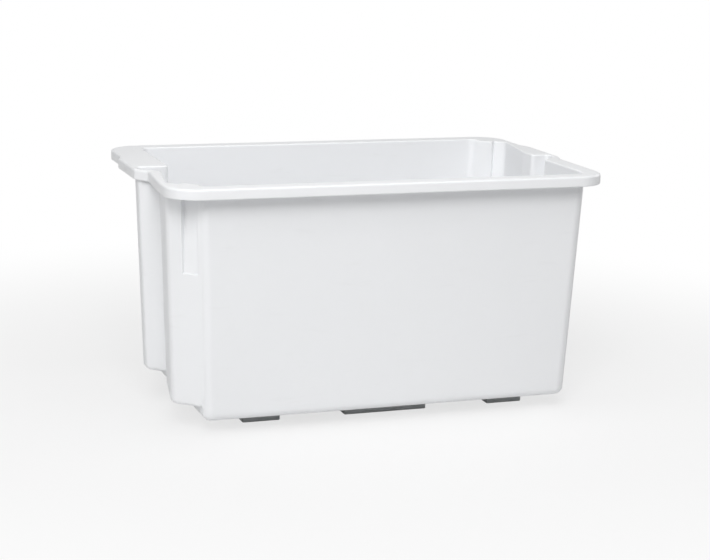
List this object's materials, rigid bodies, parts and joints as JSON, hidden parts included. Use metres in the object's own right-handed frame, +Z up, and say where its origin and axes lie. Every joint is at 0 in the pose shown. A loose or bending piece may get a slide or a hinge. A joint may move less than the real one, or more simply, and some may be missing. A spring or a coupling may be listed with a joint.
{
  "type": "stack-and-nest plastic tub",
  "caption": "Open rectangular harvest tub with tapered walls, a downturned rim, handle shelves and stepped corner posts, for carrying picked fruit; nests one way round and stacks the other.",
  "frame": {"origin": "on the floor under the middle of the rim", "axes": "+X along the long side to the right as seen from the front, +Y from the front to the back, +Z up"},
  "size_m": [0.66, 0.413, 0.354],
  "materials": {
    "shell": "white moulded polyethylene, fine satin",
    "rim": "white moulded polyethylene, smooth from handling",
    "foot": "grey plastic pad, matt"
  },
  "bodies": {
    "root": {"back_left_corner": "shell", "back_left_foot": "foot", "back_left_rim_corner": "rim", "back_middle_foot": "foot", "back_right_foot": "foot", "back_right_ledge": "shell", "back_right_post": "shell", "back_right_rim_corner": "rim", "back_right_step": "shell", "back_rim": "rim", "back_wall": "shell", "floor_panel": "shell", "front_left_foot": "foot", "front_left_ledge": "shell", "front_left_post": "shell", "front_left_rim_corner": "rim", "front_left_step": "shell", "front_middle_foot": "foot", "front_right_corner": "shell", "front_right_foot": "foot", "front_right_rim_corner": "rim", "front_rim": "rim", "front_wall": "shell", "left_back_rim": "rim", "left_end_wall": "shell", "left_front_rim": "rim", "left_handle_pillar": "shell", "left_handle_shelf": "rim", "left_pillar_ledge": "shell", "left_pillar_step": "shell", "right_back_rim": "rim", "right_end_wall_front": "shell", "right_end_wall_middle": "shell", "right_front_rim": "rim", "right_handle_pillar": "shell", "right_handle_shelf": "rim", "right_pillar_ledge": "shell", "right_pillar_step": "shell"}
  },
  "joints": []
}
